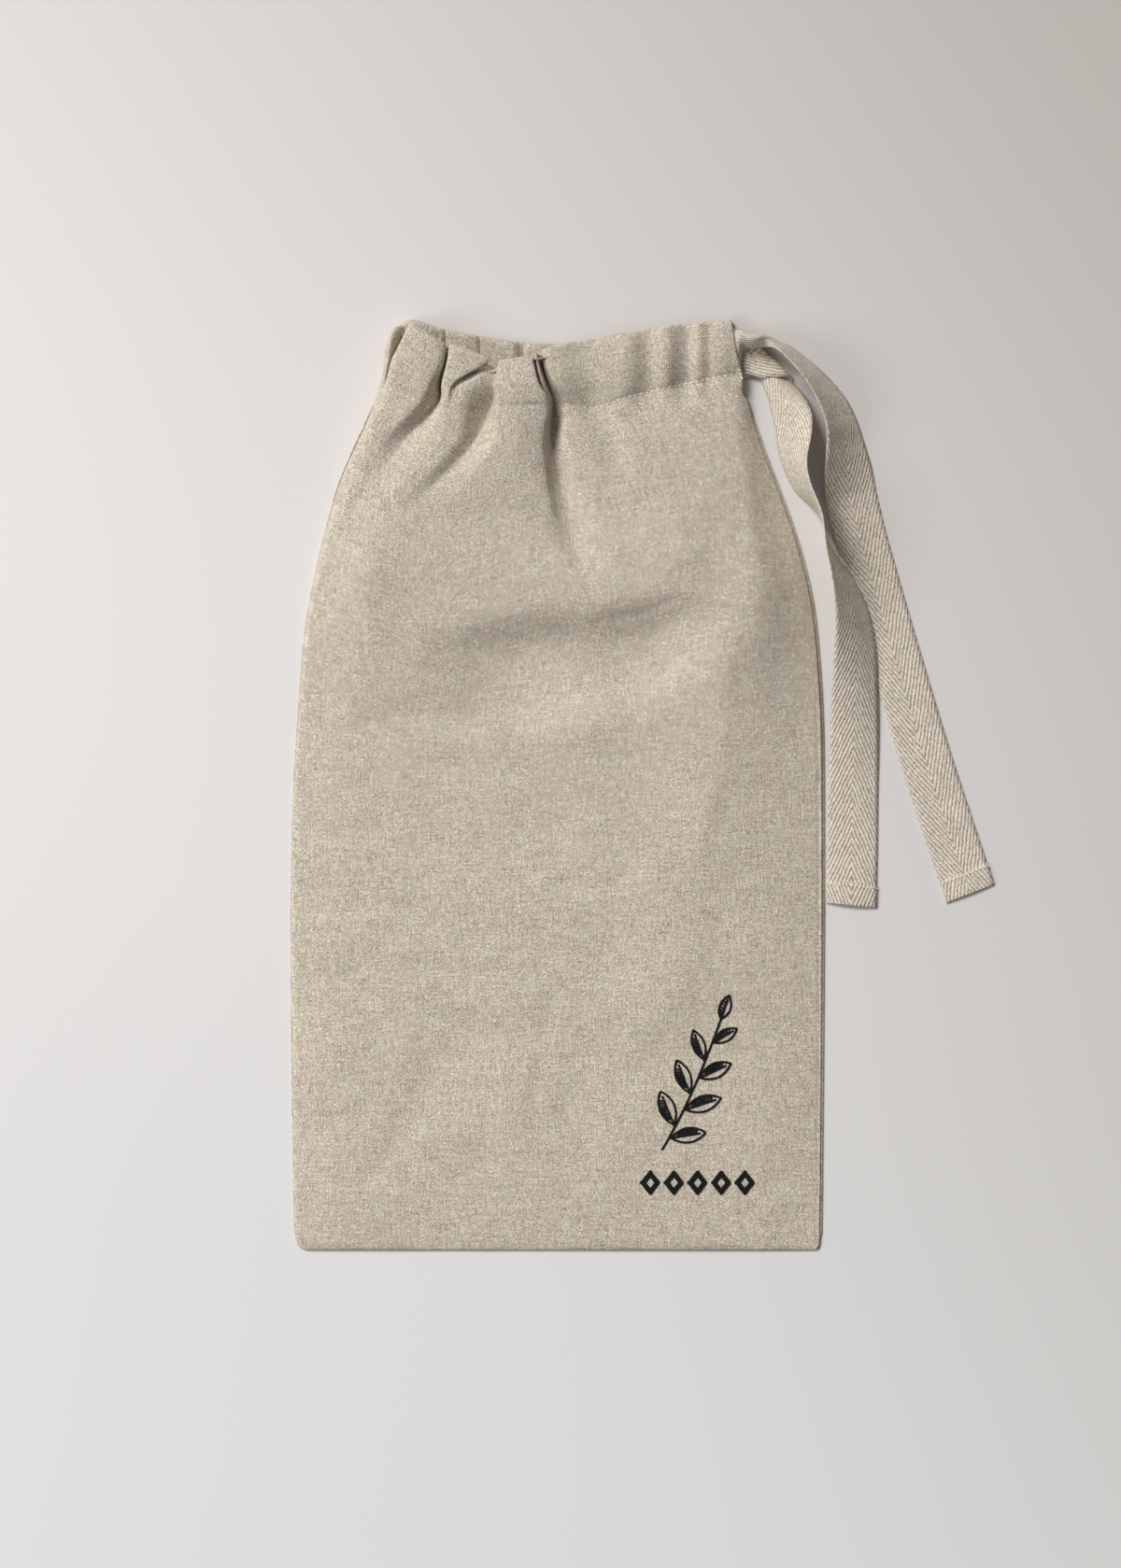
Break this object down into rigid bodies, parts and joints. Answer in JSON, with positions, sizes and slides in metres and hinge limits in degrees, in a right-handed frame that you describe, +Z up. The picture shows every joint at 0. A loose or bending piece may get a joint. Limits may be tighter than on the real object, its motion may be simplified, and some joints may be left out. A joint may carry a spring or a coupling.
{
  "type": "drawstring bread bag",
  "caption": "Flat linen drawstring bag lying on its back, its mouth partly gathered on a twill tape whose two free ends trail from one side of the casing.",
  "frame": {"origin": "middle of the underside of the back panel, on the surface that the bag lies on", "axes": "+X across the bag towards the side where the tape leaves, +Y along the bag towards its mouth, +Z up from the surface through the front panel"},
  "size_m": [0.342, 0.4521, 0.0257],
  "materials": {
    "linen": "washed natural linen in plain weave",
    "twill_tape": "herringbone twill tape in undyed cotton",
    "sewing_thread": "pale sewing thread",
    "embroidery_thread": "black embroidery thread with a soft sheen"
  },
  "bodies": {
    "root": {"back_panel": "linen", "front_panel": "linen", "drawstring_tape": "twill_tape"}
  },
  "joints": []
}
